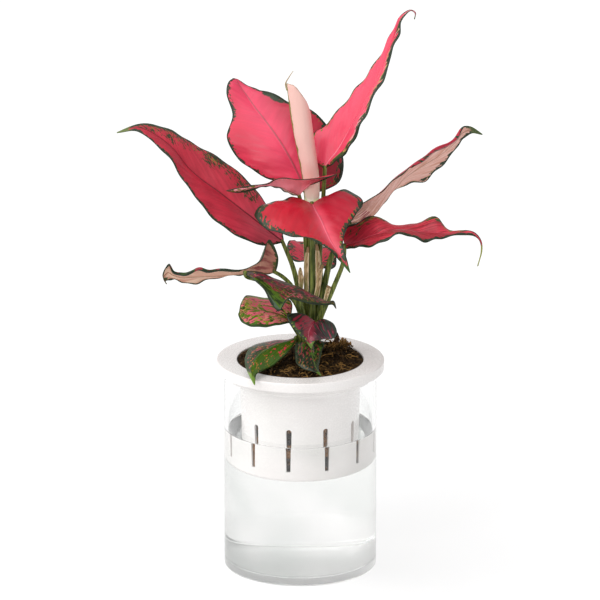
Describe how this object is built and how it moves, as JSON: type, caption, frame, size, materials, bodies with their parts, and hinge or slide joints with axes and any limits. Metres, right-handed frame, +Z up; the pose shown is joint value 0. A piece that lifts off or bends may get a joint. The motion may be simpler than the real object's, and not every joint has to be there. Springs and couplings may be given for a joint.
{
  "type": "potted chinese evergreen",
  "caption": "Red-leaved Chinese evergreen growing in a slotted white inner pot that hangs by its flange in a clear glass cylinder vessel of water.",
  "frame": {"origin": "centre of the vessel's underside, on the surface it stands on", "axes": "+Z up along the vessel's axis, +X to the viewer's right in the picture, +Y away from the viewer"},
  "size_m": [0.2857, 0.1696, 0.4393],
  "materials": {
    "clear_glass": "clear, polished",
    "white_pot": "moulded, half gloss",
    "water": "clear water",
    "soil": "fibrous potting soil",
    "green_stem": "smooth green stem",
    "pink_blade": "waxy leaf",
    "red_blade": "waxy leaf",
    "pale_blade": "waxy leaf, underside",
    "green_blade": "waxy leaf",
    "dry_sheath": "dried membrane",
    "bark": "rough bark"
  },
  "bodies": {
    "root": {"glass_vessel": "clear_glass", "inner_pot": "white_pot", "water": "water", "soil": "soil", "main_stem": "green_stem", "side_shoot": "green_stem", "leaf_left_long": "red_blade", "leaf_back_broad": "pink_blade", "leaf_right_tall": "pink_blade", "leaf_low_back": "green_blade", "leaf_level_thin": "pink_blade", "leaf_front_arching": "red_blade", "leaf_right_upper": "pale_blade", "leaf_right_level": "red_blade", "leaf_left_low": "pale_blade", "leaf_crossing": "green_blade", "leaf_speckled_left": "green_blade", "leaf_glossy_front": "red_blade", "leaf_hanging_front": "green_blade", "leaf_low_front": "green_blade", "leaf_rolled": "pale_blade", "sheath_left": "dry_sheath", "sheath_centre": "dry_sheath", "sheath_right": "dry_sheath", "sheath_scrap_left": "dry_sheath", "sheath_scrap_right": "dry_sheath", "bark_curl": "bark"}
  },
  "joints": []
}
